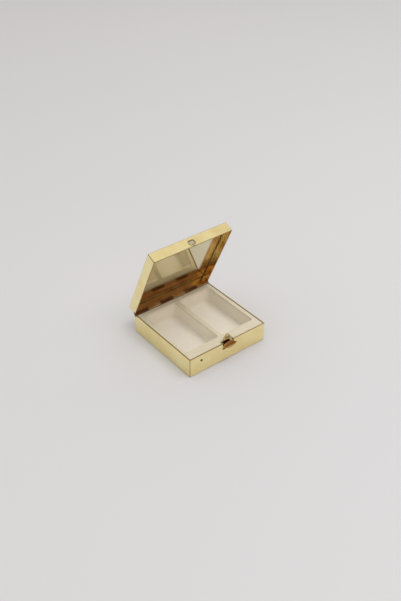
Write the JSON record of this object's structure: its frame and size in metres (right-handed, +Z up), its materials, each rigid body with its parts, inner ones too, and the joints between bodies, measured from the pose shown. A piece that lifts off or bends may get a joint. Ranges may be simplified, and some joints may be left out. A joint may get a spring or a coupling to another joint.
{
  "type": "pill box",
  "caption": "Square brass pocket pill box standing open, with a hinged mirror lid, a divided moulded tray and a sprung push-button catch.",
  "frame": {"origin": "middle of the underside of the base, on the surface the box rests on", "axes": "+X along the front edge to the right as seen from the front, +Y towards the hinge at the back, +Z up"},
  "size_m": [0.045, 0.0502, 0.0518],
  "materials": {
    "case_brass": "fine brushed, lacquered",
    "hinge_brass": "drawn, satin",
    "latch_brass": "polished",
    "tray_plastic": "moulded, satin",
    "mirror_glass": "polished",
    "mirror_coat": "silvered",
    "adhesive": "matt"
  },
  "bodies": {
    "base": {"base_shell": "case_brass", "compartment_tray": "tray_plastic", "base_hinge_leaf": "hinge_brass", "hinge_pin": "hinge_brass", "latch_rivet": "latch_brass"},
    "lid": {"lid_shell": "case_brass", "lid_hinge_leaf": "hinge_brass", "mirror_adhesive": "adhesive", "mirror_silvering": "mirror_coat", "mirror_glass": "mirror_glass"},
    "latch": {"latch_spring": "latch_brass", "catch_tongue": "latch_brass", "thumb_button": "latch_brass"}
  },
  "joints": [
    {"name": "lid_hinge", "type": "hinge", "parent": "base", "child": "lid", "pos_m": [0, 0.0216, 0.01014], "axis": [-1, 0, 0], "range_deg": [-65.25, 78]},
    {"name": "latch_press", "type": "hinge", "parent": "base", "child": "latch", "pos_m": [-0.0174, -0.02145, 0.0069], "axis": [0, 0, 1], "range_deg": [0, 1.5], "stiffness_Nm_per_rad": 0.5}
  ]
}
